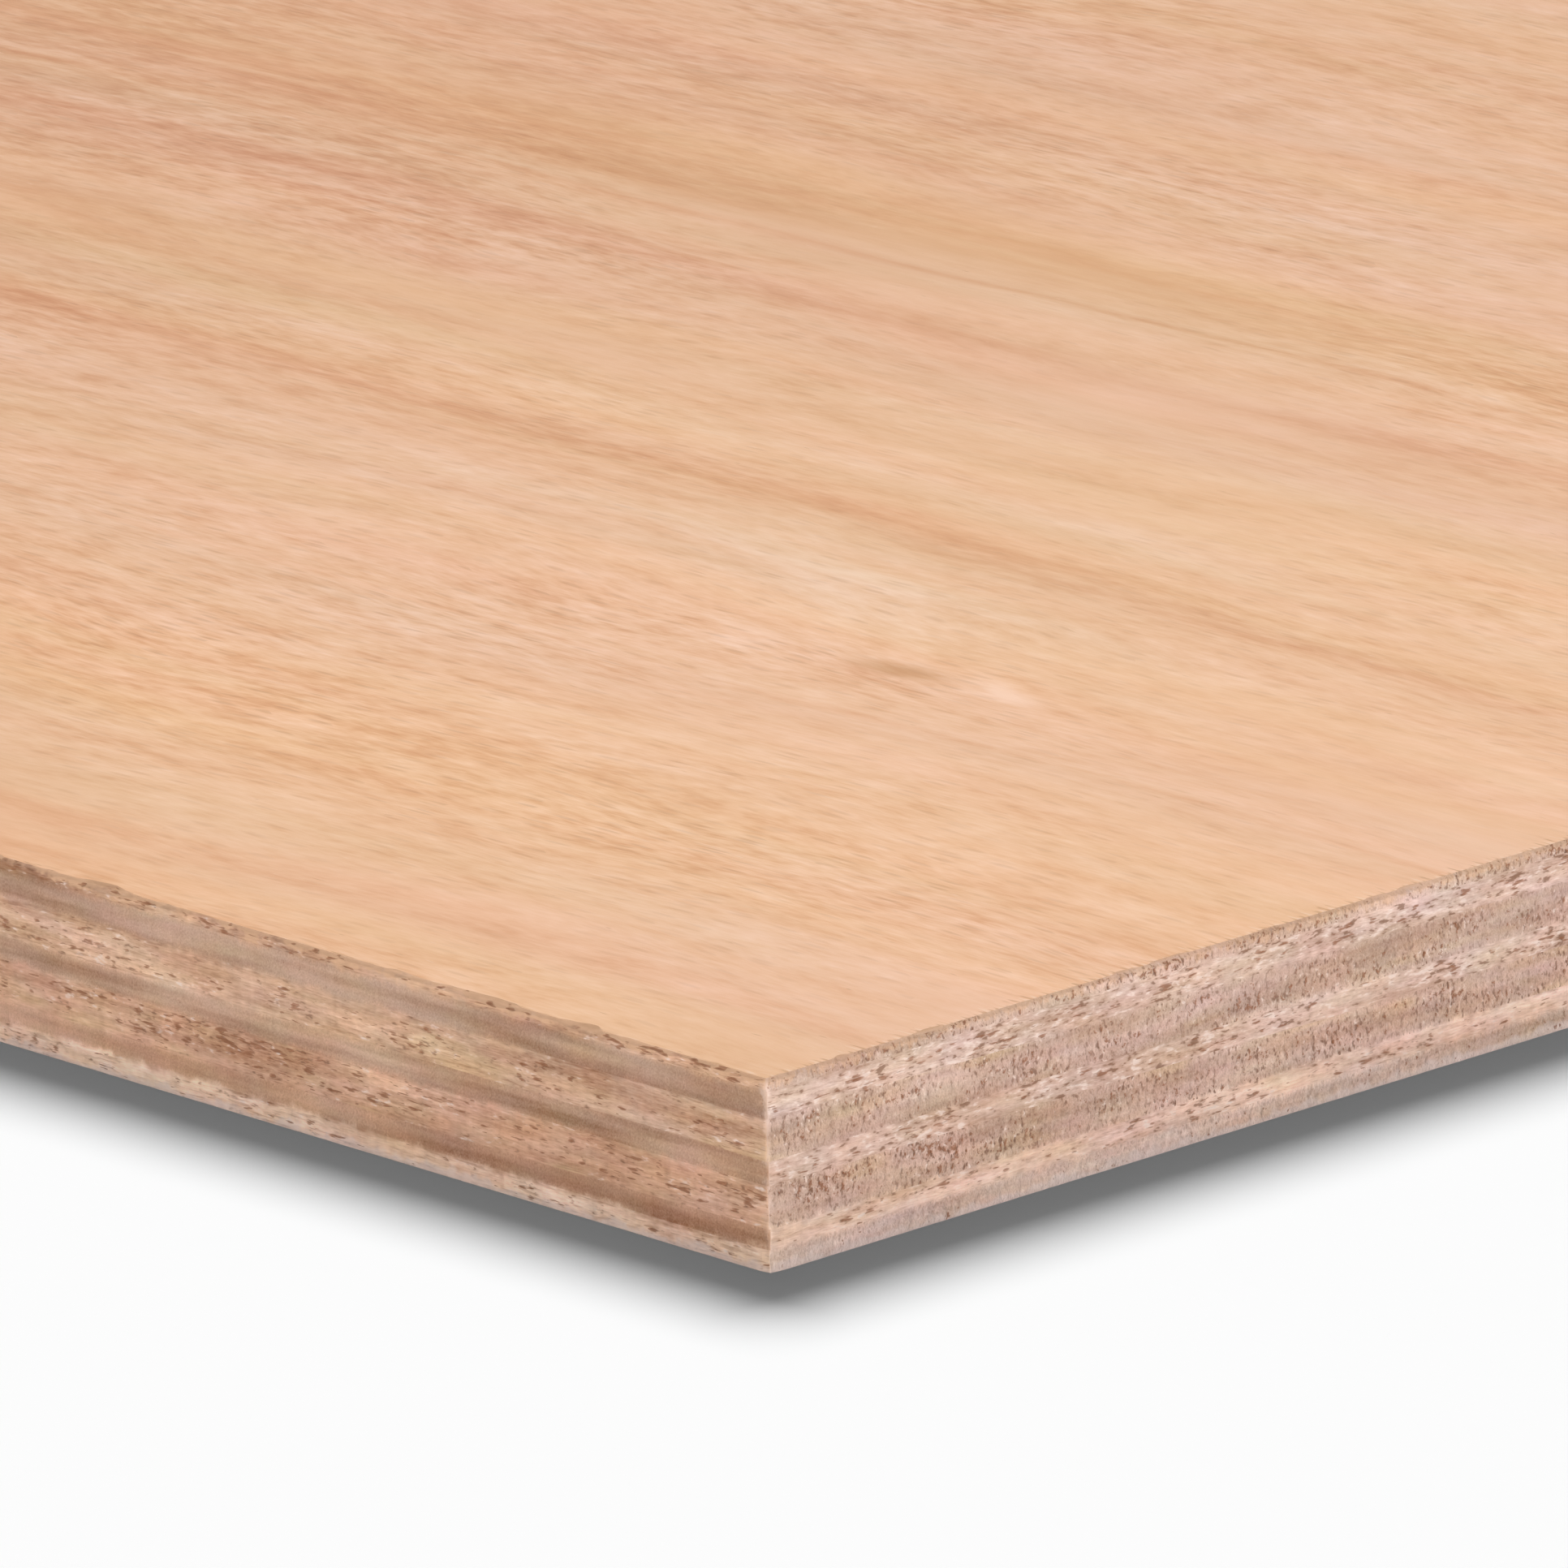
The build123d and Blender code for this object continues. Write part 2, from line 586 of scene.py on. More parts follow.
# The corners of the sheet, with a painted highlight down the edge, strongest at the top
CORNER_HIGHLIGHT = (0.85, 0.64, 0.53)
CORNER_HIGHLIGHT_SHARE = 0.4
CORNER_REACH = 0.8 * MM
CORNER_RAGGED = 2.5 * MM
CORNER_HEIGHTS = (2 * MM, 14 * MM, 0.4, 1.0)

# Glue lines: how far a ply's colour runs into the next one
GLUE_BLEND = 0.5 * MM
GLUE_RAGGED = 2.0 * MM

# The sides that lie against the next ply, by the run of the grain
GLUED_SIDES = {"X": Noise((2, 9, 0), 2, 0.5), "Y": Noise((9, 2, 0), 2, 0.5)}
GLUED_GAIN = 0.8

Leaf = namedtuple("Leaf", "place figure front near far breaks patches")


def mark(graph, place, spot):
    """An oval mark by the corner in the photo: its tone in the middle, and nothing at its rim."""
    inputs = {
        "Vector": place,
        "Location": (cad_box[1].x + spot.along * MM, cad_box[0].y + spot.inward * MM, 0),
        "Rotation": (0, 0, math.radians(spot.turn)),
        "Scale": (spot.half_length * MM, spot.half_width * MM, 1),
    }
    local = graph.node("ShaderNodeMapping", inputs, vector_type="TEXTURE").outputs[0]
    flat = graph.stretch(local, (1, 1, 0))
    length = graph.node("ShaderNodeVectorMath", (flat,), operation="LENGTH")
    return graph.step(length.outputs["Value"], 1, 0, 0, spot.tone)


def edge_gaps(graph, place):
    """How far in a point is from the ends of the sheet, and from its long sides."""
    x, y, _ = graph.split(place)
    end_gap = graph.math("SUBTRACT", cad_box[1].x, graph.size(x))
    long_gap = graph.math("SUBTRACT", cad_box[1].y, graph.size(y))
    return end_gap, long_gap


class Edge:
    """The sawn edge of a ply as it is drawn: where a point lies, and how the wood is cut there."""

    def __init__(self, graph, place, normal, ply):
        normal_x, normal_y, _ = graph.split(normal)
        self.graph = graph
        self.ply = ply
        self.wood = PLIES[ply]
        self.place = place
        self.height = graph.split(place)[2]
        self.gaps = edge_gaps(graph, place)
        along_grain = normal_x if self.wood.grain == "X" else normal_y
        self.endness = graph.step(graph.size(along_grain), *END_TURN)
        self.frontness = graph.size(normal_y)
        self.clusters = self.noise(CLUSTERS)
        self.ragged = self.noise(RAGGED)
        self.patches = self.noise(PATCHES)
        self.flecks = self.cut_noise(LONG_FLECKS, END_FLECKS)
        self.grain = self.cut_noise(LONG_GRAIN, END_GRAIN)

    def noise(self, kind):
        """Noise that is the same on every side."""
        return self.graph.noise(self.place, kind)

    def by_cut(self, long_value, end_value):
        """A value for sides cut along the grain, and another for ends."""
        return self.graph.scaled(self.endness, end_value - long_value, long_value)

    def cut_noise(self, long_kind, end_kind):
        """Noise of one size on sides cut along the grain, and of another on ends."""
        scales = self.graph.choose(self.endness, long_kind.scales, end_kind.scales)
        return self.graph.noise(self.place, long_kind, scales)


def sawn_colour(graph, endness, ply):
    """A ply's plain colour on this side of the sheet."""
    return graph.mix(endness, PLIES[ply].long.colour, PLIES[ply].end.colour)


def glued_colour(graph, edge):
    """A ply's plain colour, running raggedly into the next plies at its glue lines."""
    sideness = graph.rest(edge.endness)
    colour = sawn_colour(graph, edge.endness, edge.ply)
    names = list(PLIES)
    order = names.index(edge.ply)
    height = graph.scaled(edge.ragged, GLUE_RAGGED, edge.height)
    low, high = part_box(edge.ply)
    for neighbour, level, sign in ((order - 1, low.z, 1), (order + 1, high.z, -1)):
        if 0 <= neighbour < len(names):
            beyond = sawn_colour(graph, sideness, names[neighbour])
            near = graph.step(height, level + sign * GLUE_BLEND, level - sign * GLUE_BLEND)
            colour = graph.mix(near, colour, beyond)
    return colour


def sawn_pits(graph, edge):
    """How deep the pits of the edge are, thick in places and few in others."""
    low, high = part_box(edge.ply)
    half = (high.z - low.z) / 2
    off_middle = graph.size(graph.math("SUBTRACT", edge.height, low.z + half))
    return graph.total([
        edge.cut_noise(LONG_SPECKS, END_SPECKS),
        graph.multiply(edge.clusters, SPECK_CLUSTER_GAIN),
        graph.multiply(edge.grain, SPECK_GRAIN_GAIN),
        edge.by_cut(edge.wood.long.specks, edge.wood.end.specks),
        graph.step(off_middle, half * SPECK_RIM_SHARE, half, 0, SPECK_RIM_LOSS),
    ])


def strong_flecks(graph, edge):
    """The flecks of the edge, strongest where they cluster."""
    strength = edge.by_cut(edge.wood.long.flecks, edge.wood.end.flecks)
    clustered = graph.step(edge.clusters, *FLECK_CLUSTER_RANGE)
    return graph.multiply(edge.flecks, graph.multiply(strength, clustered))


def long_vessels(graph, edge):
    """How much the vessels show, on sides cut along the grain."""
    share = CROSSBAND_VESSEL_SHARE if edge.wood.slot == "crossband" else VESSEL_SHARE
    vessels = graph.scaled(edge.clusters, VESSEL_CLUSTER_GAIN, edge.noise(VESSELS))
    return graph.multiply(graph.step(vessels, *VESSEL_RANGE), edge.by_cut(share, 0.0))


def end_ticks(graph, edge):
    """How much the ticks show, on ends."""
    ticks = graph.step(edge.noise(END_TICKS), *TICK_RANGE, 0, TICK_SHARE)
    ticks = graph.multiply(ticks, graph.step(edge.clusters, *TICK_CLUSTER_RANGE))
    return graph.multiply(ticks, edge.by_cut(edge.wood.long.ticks, edge.wood.end.ticks))


def sawn_tone(graph, edge, flecks):
    """How much lighter or darker than its plain colour the edge is."""
    cuts = edge.wood.long, edge.wood.end
    streaky = edge.by_cut(*(cut.streaks * STREAK_GAIN for cut in cuts))
    patchy = graph.scaled(edge.frontness, FRONT_PATCH_GAIN - END_PATCH_GAIN, END_PATCH_GAIN)
    tones = [
        graph.multiply(edge.noise(STREAKS), streaky),
        graph.multiply(edge.patches, patchy),
        # Flecks lighter where raised and darker where sunk: partly painted light
        graph.multiply(flecks, FLECK_GAIN),
        graph.multiply(edge.noise(SAW_SCORES), SAW_GAIN),
        graph.multiply(edge.grain, GRAIN_GAIN),
    ]
    if edge.wood.slot == "crossband":
        tones.append(graph.multiply(mark(graph, edge.place, CORNER_DARKENING), edge.endness))
    if edge.wood.slot == "long_core":
        hairs = graph.multiply(edge.noise(HAIRS), edge.by_cut(HAIR_GAIN, 0.0))
        tones.append(graph.multiply(hairs, graph.step(edge.patches, *HAIR_PATCH_RANGE)))
    return graph.total(tones)


def face_rim(graph, edge, colour):
    """The colour of the face veneer's edge, tan under the face and brown where it has splintered."""
    rim = edge.cut_noise(LONG_RIM, END_RIM)
    level = graph.scaled(graph.add(rim, edge.ragged), RIM_RAGGED, edge.height)
    sanded = graph.step(level, *(cad_box[1].z - depth for depth in RIM_DEPTHS))
    sanded = graph.multiply(sanded, edge.by_cut(LONG_RIM_SHARE, END_RIM_SHARE))
    colour = graph.mix(sanded, colour, RIM_TAN)
    return graph.paint(colour, graph.math("MINIMUM", *edge.gaps), TORN_RIM)


def painted_corner_highlight(graph, edge, colour):
    """A colour with a painted highlight down the corners of the sheet."""
    gap = graph.math("MAXIMUM", *edge.gaps)
    highlight = graph.scaled(graph.add(edge.flecks, edge.ragged), CORNER_RAGGED, gap)
    highlight = graph.step(highlight, CORNER_REACH, 0, 0, CORNER_HIGHLIGHT_SHARE)
    highlight = graph.multiply(highlight, graph.step(edge.height, *CORNER_HEIGHTS))
    return graph.mix(highlight, colour, CORNER_HIGHLIGHT)


def sawn_relief(graph, edge, pits, vessels, ticks):
    """The relief of the edge: flecks and grain, with pits, vessels and ticks sunk in it."""
    end_share = CROSSBAND_END_TEAR_SHARE if edge.wood.slot == "crossband" else 1.0
    return graph.total([
        graph.multiply(edge.flecks, edge.by_cut(1.0, end_share)),
        graph.step(pits, SPECK_RED.start, SPECK_RED.full, 0, PIT_RELIEF),
        graph.multiply(vessels, VESSEL_RELIEF),
        graph.multiply(ticks, TICK_RELIEF),
        graph.multiply(edge.grain, GRAIN_RELIEF),
    ])


def sawn_side(graph, place, normal, ply):
    """The colour and the relief of a ply's sawn edge, on its long sides and on its ends."""
    edge = Edge(graph, place, normal, ply)
    slot = edge.wood.slot
    flecks = strong_flecks(graph, edge)
    pits = sawn_pits(graph, edge)
    vessels = long_vessels(graph, edge)
    ticks = end_ticks(graph, edge)
    colour = glued_colour(graph, edge)
    if slot == "long_core":
        colour = graph.paint(colour, edge.noise(YELLOWS), CORE_YELLOW)
    colour = graph.shade(colour, sawn_tone(graph, edge, flecks), SAWN_WEIGHTS)
    rose = graph.multiply(edge.noise(SAWN_ROSE), SAWN_ROSE_GAIN)
    warmth = graph.multiply(edge.noise(SAWN_WARMTH), SAWN_WARMTH_GAIN)
    colour = graph.tint(colour, rose, warmth)
    # Pale flecks partly painted highlight on raised fibres, dark flecks partly painted shade in sunk ones
    colour = graph.paint(colour, flecks, FLECK_PALE_AND_HIGHLIGHT)
    colour = graph.paint(colour, flecks, FLECK_DARK_AND_SHADE)
    colour = graph.mix(vessels, colour, VESSEL_BROWN)
    colour = graph.mix(ticks, colour, TICK_BROWN)
    if slot == "face":
        colour = face_rim(graph, edge, colour)
    if slot == "back":
        colour = graph.paint(colour, graph.scaled(edge.ragged, RIM_RAGGED, edge.height), UNDER_PALE)
    colour = graph.paint(colour, pits, SPECK_RED)
    # Pits dark inside: partly their own colour, partly painted shade
    colour = graph.paint(colour, pits, SPECK_DARK_AND_SHADE)
    # A painted highlight down the corners, strongest at the top
    colour = painted_corner_highlight(graph, edge, colour)
    return colour, sawn_relief(graph, edge, pits, vessels, ticks)


def read_leaf(graph, place):
    """What a veneer is drawn from: its wandering figure, and where a point lies on it."""
    x, y, _ = graph.split(place)
    near = graph.step(mark(graph, place, NEAR_CORNER), *NEAR_RANGE)
    far = graph.rest(near)
    wander = graph.multiply(graph.swell(place, FACE_WANDER), far)
    warped = graph.total([y, wander, graph.swell(place, FACE_RIPPLE)])
    figure = graph.join(x, warped, 0.0)
    breaks = graph.add(graph.swell(figure, FACE_BREAKS), 1.0)
    patches = graph.total([graph.swell(place, FACE_PATCHES), mark(graph, place, CALM), 1.0])
    return Leaf(
        place=place,
        figure=figure,
        front=graph.math("SUBTRACT", warped, cad_box[0].y),
        near=near,
        far=far,
        breaks=graph.math("MAXIMUM", breaks, 0.0),
        patches=graph.math("MAXIMUM", patches, LEAST_FIBRE_SHARE),
    )


def leaf_streaks(graph, leaf):
    """The streaks of a veneer: some placed by the corner in the photo, others all over."""
    near_streaks = []
    for distance, half_width, tone in NEAR_STREAKS:
        gap = graph.size(graph.math("SUBTRACT", leaf.front, distance * MM))
        near_streaks.append(graph.step(gap, half_width * MM, 0, 0, tone))
    far_streaks = []
    for kind, low, high, tone in FAR_STREAKS:
        far_streaks.append(graph.step(graph.swell(leaf.figure, kind), low, high, 0, tone))
    streaks = graph.multiply(graph.total(near_streaks), leaf.near)
    streaks = graph.add(streaks, graph.multiply(graph.total(far_streaks), leaf.far))
    return graph.multiply(streaks, leaf.breaks)


def leaf_tone(graph, leaf, streaks):
    """How light a veneer is: its bands, fibres, streaks and the marks by the corner in the photo."""
    fibres = graph.multiply(graph.swells(leaf.figure, FACE_FIBRES), leaf.patches)
    marks = graph.total([mark(graph, leaf.place, spot) for spot in FACE_MARKS])
    return graph.total([graph.swells(leaf.figure, FACE_BANDS), fibres, streaks, marks, FACE_MIDDLE])


def leaf_pores(graph, leaf, colour):
    """A colour with fine dark pores in it, thickest where the fibres are."""
    distance, own = graph.cells(leaf.figure, FACE_PORES)
    chance = graph.step(graph.split(own)[0], *FACE_PORE_CHANCE, 0, FACE_PORE_SHARE)
    pores = graph.multiply(graph.step(distance, *FACE_PORE_SIZE), graph.multiply(chance, leaf.patches))
    return graph.mix(pores, colour, FACE_PORE)


def veneer_face(graph, place):
    """The colour and the relief of a sanded veneer: bands, streaks, fibres and pores along +X."""
    leaf = read_leaf(graph, place)
    streaks = leaf_streaks(graph, leaf)
    colour = graph.ramp(leaf_tone(graph, leaf, streaks), FACE_TONES)
    rose = graph.scaled(streaks, STREAK_ROSE, graph.swells(leaf.figure, FACE_ROSE))
    colour = graph.tint(colour, rose, graph.swells(leaf.figure, FACE_WARMTH))
    colour = leaf_pores(graph, leaf, colour)
    knot = graph.multiply(mark(graph, place, KNOT), graph.math("MINIMUM", leaf.breaks, 1.0))
    colour = graph.mix(graph.multiply(knot, KNOT_SHARE), colour, KNOT_BROWN)
    # Random clouds of tone, and a pool of painted light by the corner
    clouds_and_light_pool = graph.total([
        graph.swell(place, FACE_CLOUDS),
        graph.multiply(graph.swell(leaf.figure, FAR_CLOUDS), leaf.far),
        mark(graph, place, PAINTED_LIGHT_POOL),
    ])
    return graph.shade(colour, clouds_and_light_pool), graph.swell(place, FACE_GRAIN)


def lift_fibres(graph, place, colour):
    """The colour of a face with fibres torn dark and slivers lifted pale along its edges."""
    end_gap, long_gap = edge_gaps(graph, place)
    close_end = graph.scaled(end_gap, -RIM_FIBRE_GAIN / END_FIBRE_REACH, RIM_FIBRE_GAIN)
    close_long = graph.scaled(long_gap, -RIM_FIBRE_GAIN / LONG_FIBRE_REACH, RIM_FIBRE_GAIN)
    close = graph.math("MAXIMUM", graph.math("MAXIMUM", close_end, close_long), 0.0)
    fibres = graph.swell(place, RIM_FIBRES)
    colour = graph.paint(colour, graph.math("SUBTRACT", close, fibres), SLIVER_PALE)
    return graph.paint(colour, graph.add(close, fibres), TORN_FIBRE)


def glued_side(graph, place, ply):
    """The colour and the relief of a side that lies against the next ply."""
    figure = graph.noise(place, GLUED_SIDES[PLIES[ply].grain])
    return graph.shade(PLIES[ply].long.colour, graph.multiply(figure, GLUED_GAIN)), figure


def wood_material(name, draw, bump_depth):
    """Matte wood from a drawn colour and relief."""
    material = bpy.data.materials.new(name)
    material.use_nodes = True
    graph = Graph(material.node_tree)
    shader = material.node_tree.nodes["Principled BSDF"]
    place = graph.node("ShaderNodeTexCoord").outputs["Object"]
    normal = graph.node("ShaderNodeNewGeometry").outputs["Normal"]
    colour, relief = draw(graph, place, normal)
    inputs = {"Strength": BUMP_STRENGTH, "Distance": bump_depth, "Height": relief}
    bump = graph.node("ShaderNodeBump", inputs)
    graph.feed(shader.inputs["Base Color"], colour)
    graph.feed(shader.inputs["Normal"], bump.outputs["Normal"])
    graph.feed(shader.inputs["Roughness"], graph.scaled(relief, ROUGHNESS_SWING, ROUGHNESS))
    shader.inputs["Specular IOR Level"].default_value = SPECULAR_LEVEL
    return material


def ply_materials(ply):
    """The wood of a ply's sawn edge, and of its two sides."""

    def draw_edge(graph, place, normal):
        return sawn_side(graph, place, normal, ply)

    def draw_side(graph, place, _):
        if ply not in ("face_veneer", "back_veneer"):
            return glued_side(graph, place, ply)
        figure_place = place if ply == "face_veneer" else graph.shift(place, BACK_SHIFT)
        colour, relief = veneer_face(graph, figure_place)
        return lift_fibres(graph, place, colour), relief

    edge = wood_material(ply + "_edge", draw_edge, EDGE_BUMP)
    side = wood_material(ply + "_side", draw_side, FACE_BUMP)
    return edge, side


# Mesh

Columns = namedtuple("Columns", "points normals travel steps corner_gap around")


def outline_columns():
    """Points round the sheet, with their outward directions, their travel round it and their steps."""
    low, high = cad_box
    radius = CORNER_EASING
    centre_x = high.x - radius
    centre_y = high.y - radius
    straights = (
        ((high.x, -centre_y), (0, 1), 2 * centre_y),
        ((centre_x, high.y), (-1, 0), 2 * centre_x),
        ((low.x, centre_y), (0, -1), 2 * centre_y),
        ((-centre_x, low.y), (1, 0), 2 * centre_x),
    )
    bend = math.pi / 2 * radius
    around = sum(length + bend for _, _, length in straights)
    rows = []
    run = 0.0
    for start, heading, length in straights:
        outward = (heading[1], -heading[0])
        offset = 0.0
        while offset < length:
            spent = run + offset
            gap = min(spent, around - spent)
            step = min(FINE_STEP + max(0.0, gap - FINE_REACH) * STEP_GROWTH, COARSE_STEP)
            point = (start[0] + heading[0] * offset, start[1] + heading[1] * offset)
            rows.append((point, outward, spent, step, min(offset, length - offset)))
            offset += step
        pivot_x = start[0] + heading[0] * length - outward[0] * radius
        pivot_y = start[1] + heading[1] * length - outward[1] * radius
        for turn in range(CORNER_STEPS):
            angle = math.atan2(outward[1], outward[0]) + math.pi / 2 * turn / CORNER_STEPS
            facing = (math.cos(angle), math.sin(angle))
            point = (pivot_x + facing[0] * radius, pivot_y + facing[1] * radius)
            rows.append((point, facing, run + length + bend * turn / CORNER_STEPS, FINE_STEP, 0.0))
        run += length + bend
    return Columns(*(np.array(row) for row in zip(*rows)), around)


def smooth(share):
    """A share from 0 to 1 that starts and ends gently."""
    return share ** 2 * (3 - 2 * share)


def lattice_noise(rng, across, up, across_cell, up_cell, around, height):
    """Smooth random values from -1 to 1 that close on themselves round the sheet."""
    columns = max(int(round(around / across_cell)), LEAST_CELLS)
    rows = int(height / up_cell) + SPARE_ROWS
    lattice = rng.uniform(-1, 1, (rows, columns))
    column = across / around * columns
    row = np.clip(up / up_cell, 0, rows - 2)
    column_low = np.floor(column).astype(int)
    row_low = np.floor(row).astype(int)
    blend_column = smooth(column - column_low)
    blend_row = smooth(row - row_low)
    left = column_low % columns
    right = (column_low + 1) % columns
    row_high = row_low + 1
    lower = lattice[row_low, left] * (1 - blend_column) + lattice[row_low, right] * blend_column
    upper = lattice[row_high, left] * (1 - blend_column) + lattice[row_high, right] * blend_column
    return lower * (1 - blend_row) + upper * blend_row


def edge_relief(columns, heights, shares, index):
    """How far the edge of a ply stands in from true at each column and height."""
    around = columns.around
    tall = cad_box[1].z - cad_box[0].z
    across = np.broadcast_to(columns.travel[:, None], heights.shape)
    fine = np.clip(FINE_STEP / columns.steps, 0, 1)[:, None]
    rng = np.random.default_rng(SEED)
    depth = np.zeros_like(heights)
    for across_cell, up_cell, size in SAW_MARKS:
        scored = lattice_noise(rng, across, heights, across_cell, up_cell, around, tall)
        depth += size * (1 + scored) / 2
    dents = lattice_noise(rng, across, heights, around, DENT_HEIGHT, around, tall)
    by_corner = np.exp(-(columns.corner_gap / DENT_REACH) ** 2)[:, None]
    depth += DENT_DEPTH * np.clip(dents, 0, 1) * by_corner
    wood = list(PLIES.values())[index]
    endness = np.abs(columns.normals[:, 0 if wood.grain == "X" else 1])[:, None]
    end_share = endness * (CROSSBAND_END_TEAR_SHARE if wood.slot == "crossband" else 1)
    rng = np.random.default_rng(SEED + index + 1)
    inside = np.sin(np.pi * shares)[None, :]
    for (across_cell, up_cell, size, whole), share in ((LONG_TEAR, 1 - endness), (END_TEAR, end_share)):
        torn = lattice_noise(rng, across, heights, across_cell, up_cell, around, tall)
        depth += size * np.clip(torn - whole, 0, 1) * share * inside * fine
    return depth


def arris_splinters(columns):
    """How far splinters run in from the arris of the face, further on its long sides than its ends."""
    rng = np.random.default_rng(SEED)
    still = np.zeros(len(columns.travel))
    endness = np.abs(columns.normals[:, 0])
    depth = still
    for sizes, deepest, share in (
        (LONG_SPLINTERS, LONG_SPLINTER_DEPTH, 1 - endness),
        (END_SPLINTERS, END_SPLINTER_DEPTH, endness),
    ):
        level = still
        for size, weight in sizes:
            swell = lattice_noise(rng, columns.travel, still, size, size, columns.around, size)
            level = level + weight * swell
        depth = depth + deepest * np.clip(level - SPLINTER_LEVEL, 0, 1) * share
    fine = np.clip(FINE_STEP / columns.steps, 0, 1)
    return depth * fine * np.clip(columns.corner_gap / SPLINTER_CLEARANCE, 0, 1)


def glue_levels(columns):
    """The height of every glue line at each column, a little wavy, and of the two outer faces."""
    rng = np.random.default_rng(SEED)
    still = np.zeros(len(columns.travel))
    levels = [still + cad_box[0].z]
    for name in list(PLIES)[:-1]:
        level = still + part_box(name)[1].z
        for cell, rise in GLUE_WAVES:
            level += rise * lattice_noise(rng, columns.travel, still, cell, cell, columns.around, cell)
        levels.append(level)
    levels.append(still + cad_box[1].z)
    return levels


def ply_rings(name, columns, levels, index):
    """The rings of points up a ply's edge, and the share of its thickness that each one is at."""
    low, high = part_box(name)
    bottom = levels[index]
    top = levels[index + 1]
    rows = max(int(round((high.z - low.z) / ROW_HEIGHT)), LEAST_ROWS)
    shares = np.linspace(0, 1, rows + 1)
    heights = bottom[:, None] + (top - bottom)[:, None] * shares[None, :]
    eased = np.zeros_like(heights)
    if name == "face_veneer":
        splinters = arris_splinters(columns)
        side_top = top - ARRIS_EASING - splinters * SPLINTER_DROP_SHARE
        side_shares = shares[None, :-1] / shares[-2]
        heights[:, :-1] = bottom[:, None] + (side_top - bottom)[:, None] * side_shares
        eased[:, -1] = ARRIS_EASING + splinters
    if name == "back_veneer":
        heights[:, 1] = low.z + BACK_EASING
        eased[:, 0] = BACK_EASING
    depth = edge_relief(columns, heights, shares, index) + eased
    flat = columns.points[:, None, :] - columns.normals[:, None, :] * depth[:, :, None]
    return np.concatenate([flat, heights[:, :, None]], axis=2).transpose(1, 0, 2), shares


def ring_faces(ids):
    """Faces between the rings of points up a ply's edge."""
    faces = []
    for lower, upper in zip(ids, ids[1:]):
        faces += np.stack([lower, np.roll(lower, -1), np.roll(upper, -1), upper], axis=1).tolist()
    return faces


def bridge(outer, inner):
    """Faces from a ring to the next one in, which has every second one of its points."""
    faces = []
    count = len(outer)
    for order in range(len(inner)):
        start = 2 * order
        after = (order + 1) % len(inner)
        if start + 1 == count:
            faces.append((outer[start], outer[0], inner[after], inner[order]))
            continue
        middle = outer[start + 1]
        faces.append((outer[start], middle, inner[order]))
        faces.append((middle, inner[after], inner[order]))
        faces.append((middle, outer[(start + 2) % count], inner[after]))
    return faces


def cap(columns, ring, level, flat_level, total):
    """A side of a ply, from its edge inwards and ever coarser: its new points and its faces."""
    half = np.array((cad_box[1].x, cad_box[1].y))
    points, faces = [], []
    kept = np.arange(len(ring))
    for inset in CAP_INSETS:
        kept = kept[::2]
        fade = max(0.0, 1 - inset / GLUE_WAVE_INSET)
        rise = flat_level + (level[kept] - flat_level) * fade
        points.append(np.column_stack([columns.points[kept] * (1 - inset / half), rise]))
        inner = np.arange(len(kept)) + total
        total += len(kept)
        faces += bridge(ring.tolist(), inner.tolist())
        ring = inner
    faces.append(tuple(ring.tolist()))
    return np.concatenate(points), faces


def finish_edge(mesh, ids, edge_faces):
    """Smooths a ply's edge, keeps its two arrises sharp, and gives the sides their own material."""
    on_edge = np.arange(len(mesh.polygons)) < edge_faces
    mesh.polygons.foreach_set("use_smooth", on_edge)
    mesh.polygons.foreach_set("material_index", np.where(on_edge, 0, 1).astype(np.int32))
    ends = np.empty(2 * len(mesh.edges), np.int32)
    mesh.edges.foreach_get("vertices", ends)
    ends = ends.reshape(-1, 2)
    sharp = np.zeros(len(ends), bool)
    for ring in (ids[0], ids[-1]):
        sharp |= ((ends >= ring[0]) & (ends <= ring[-1])).all(axis=1)
    mesh.attributes.new("sharp_edge", "BOOLEAN", "EDGE").data.foreach_set("value", sharp)


def strip_places(columns, heights, low_share, high_share):
    """Places on the bake map for a ply's edge, folded into strips that fill its band of the map."""
    tall = high_share - low_share
    thick = heights[-1]
    folds = int(math.sqrt(tall * columns.around / thick))
    length = columns.around / folds
    pitch = tall / folds
    ends = np.append(columns.travel[1:], columns.around)
    fold = np.floor(columns.travel / length)
    left = (columns.travel - fold * length) / (length + COARSE_STEP)
    right = (ends - fold * length) / (length + COARSE_STEP)
    base = low_share + fold * pitch
    rise = heights / thick * (pitch - BAKE_GAP)
    places = []
    for lower, upper in zip(base + rise[:-1, None], base + rise[1:, None]):
        corners = ((left, lower), (right, lower), (right, upper), (left, upper))
        corners = [np.stack(corner, axis=1) for corner in corners]
        places.append(np.stack(corners, axis=1).reshape(-1, 2))
    return np.concatenate(places)


def side_places(points, faces, low_share, high_share):
    """Places on the bake map for one side of a ply, in a band of the map that keeps its proportions."""
    low, high = cad_box
    size = np.array((high.x - low.x, high.y - low.y))
    scale = min((high_share - low_share) / size[1], 1 / size[0])
    corners = np.concatenate([np.array(face) for face in faces])
    return (points[corners, :2] + size / 2) * scale + (0, low_share)


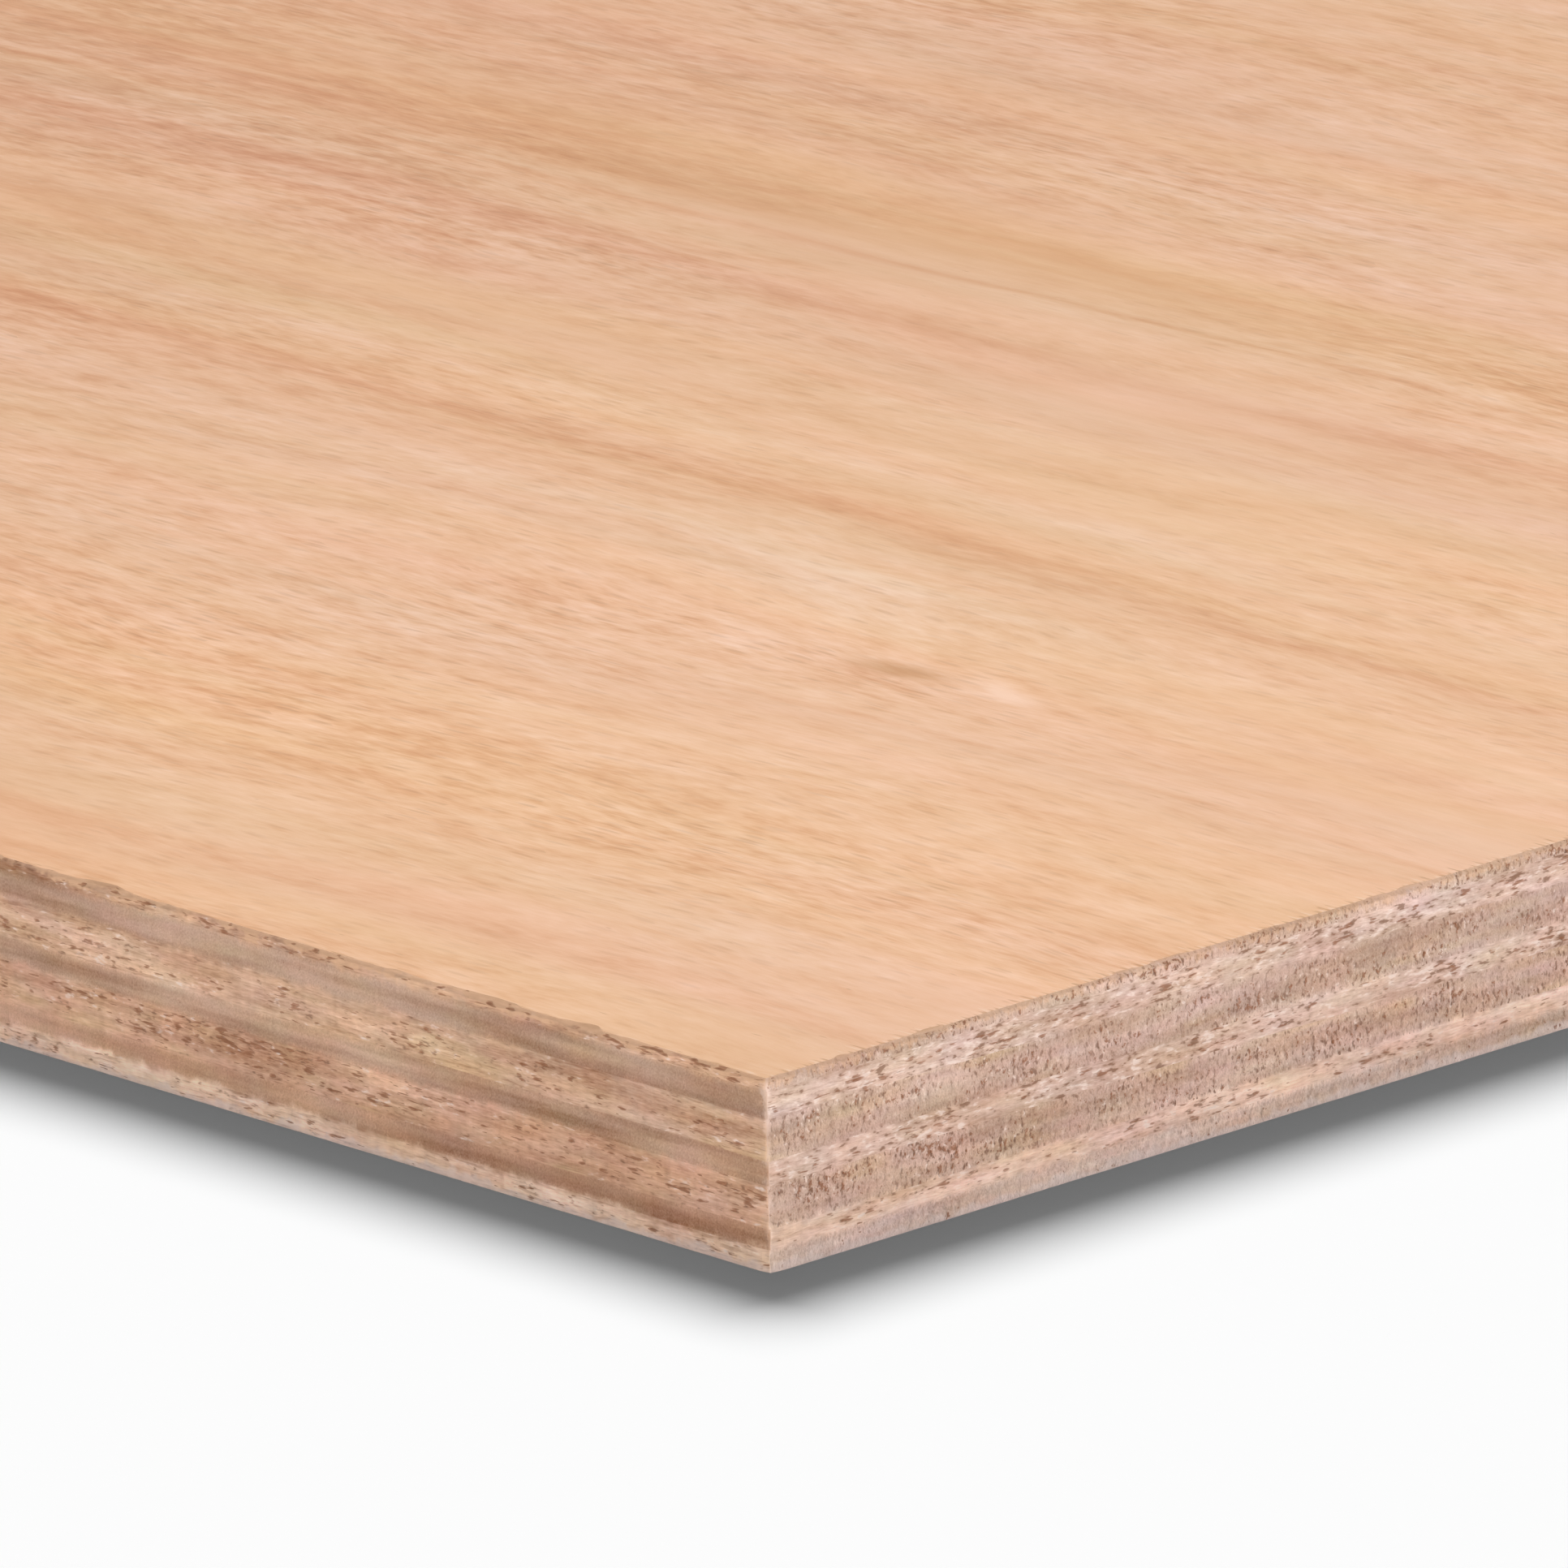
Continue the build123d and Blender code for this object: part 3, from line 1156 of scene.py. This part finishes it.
def build_ply(name, columns, levels, index):
    """One ply as a closed mesh: its ragged edge, its two sides, and the map to bake them through."""
    low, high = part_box(name)
    rings, shares = ply_rings(name, columns, levels, index)
    edge_points = rings.reshape(-1, 3)
    ids = np.arange(len(edge_points)).reshape(rings.shape[:2])
    edge_faces = ring_faces(ids)
    count = len(edge_points)
    top_points, top_faces = cap(columns, ids[-1], levels[index + 1], high.z, count)
    count += len(top_points)
    under_points, under_faces = cap(columns, ids[0], levels[index], low.z, count)
    under_faces = [face[::-1] for face in under_faces]
    points = np.concatenate([edge_points, top_points, under_points])
    mesh = bpy.data.meshes.new(name)
    mesh.from_pydata(points.tolist(), [], edge_faces + top_faces + under_faces)
    finish_edge(mesh, ids, len(edge_faces))
    top_share = SHOWN_SIDE_SHARE if name == "face_veneer" else HIDDEN_SIDE_SHARE
    under_share = SHOWN_SIDE_SHARE if name == "back_veneer" else HIDDEN_SIDE_SHARE
    edge_top = 1 - top_share - under_share - BAKE_GAP
    places = np.concatenate([
        strip_places(columns, shares * (high.z - low.z), BAKE_GAP, edge_top),
        side_places(points, top_faces, edge_top, edge_top + top_share - BAKE_GAP),
        side_places(points, under_faces, edge_top + top_share, 1 - BAKE_GAP),
    ])
    mesh.uv_layers.new(name=BAKE_MAP).data.foreach_set("uv", places.ravel())
    mesh.update()
    piece = bpy.data.objects.new(name + "_wood", mesh)
    bpy.context.scene.collection.objects.link(piece)
    return piece


def add_sheet():
    """The seven plies, each standing for its solid."""
    columns = outline_columns()
    levels = glue_levels(columns)
    for index, (name, wood) in enumerate(PLIES.items()):
        piece = build_ply(name, columns, levels, index)
        # The wood throws no light on the floor, so that its shadow stays grey
        piece.visible_diffuse = False
        for material in ply_materials(name):
            piece.data.materials.append(material)
        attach(piece, "root")
        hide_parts(name)


# Stage


def add_sun(name, azimuth, elevation, spread, share):
    """A soft distant lamp that gives a surface square to it this share of plain light."""
    lamp = bpy.data.lights.new(name, "SUN")
    lamp.energy = math.pi * share
    lamp.angle = math.radians(spread)
    sun = bpy.data.objects.new(name, lamp)
    sun.rotation_mode = "QUATERNION"
    sun.rotation_quaternion = towards(azimuth, elevation).to_track_quat("Z", "Y")
    bpy.context.scene.collection.objects.link(sun)


def add_light():
    """A soft key from behind and above, a low fill on the two near edges, and a little all round."""
    key = KEY_SHARE / math.sin(math.radians(KEY_ELEVATION))
    top = TOP_SHARE / math.sin(math.radians(TOP_ELEVATION))
    add_sun("key", KEY_AZIMUTH, KEY_ELEVATION, KEY_SPREAD, key)
    add_sun("top", KEY_AZIMUTH, TOP_ELEVATION, TOP_SPREAD, top)
    add_sun("fill", FILL_AZIMUTH, FILL_ELEVATION, FILL_SPREAD, FILL_SHARE)
    world = bpy.data.worlds.new("studio")
    world.use_nodes = True
    bpy.context.scene.world = world
    graph = Graph(world.node_tree)
    rays = graph.node("ShaderNodeLightPath").outputs
    seen = graph.math("MAXIMUM", rays["Is Camera Ray"], rays["Is Glossy Ray"])
    seen = graph.math("MAXIMUM", seen, rays["Is Transmission Ray"])
    plain = graph.node("ShaderNodeBackground", {"Color": WHITE, "Strength": AMBIENT_SHARE})
    white = graph.node("ShaderNodeBackground", {"Color": WHITE, "Strength": 1.0})
    mixed = graph.node("ShaderNodeMixShader", (seen, plain.outputs[0], white.outputs[0]))
    output = world.node_tree.nodes["World Output"]
    graph.feed(output.inputs["Surface"], mixed.outputs[0])


def add_floor():
    """A white floor just under the sheet."""
    reach = FLOOR_REACH
    corners = [(-reach, -reach), (reach, -reach), (reach, reach), (-reach, reach)]
    mesh = bpy.data.meshes.new("floor")
    mesh.from_pydata([(x, y, cad_box[0].z - FLOOR_DROP) for x, y in corners], [], [(0, 1, 2, 3)])
    floor = bpy.data.objects.new("floor", mesh)
    bpy.context.scene.collection.objects.link(floor)
    material = bpy.data.materials.new("floor_white")
    material.use_nodes = True
    shader = material.node_tree.nodes["Principled BSDF"]
    shader.inputs["Base Color"].default_value = (FLOOR_WHITE, FLOOR_WHITE, FLOOR_WHITE, 1)
    shader.inputs["Roughness"].default_value = 1.0
    shader.inputs["Specular IOR Level"].default_value = 0.0
    mesh.materials.append(material)


bpy.context.scene.view_settings.view_transform = "Standard"
add_camera()
add_light()
add_floor()
add_sheet()
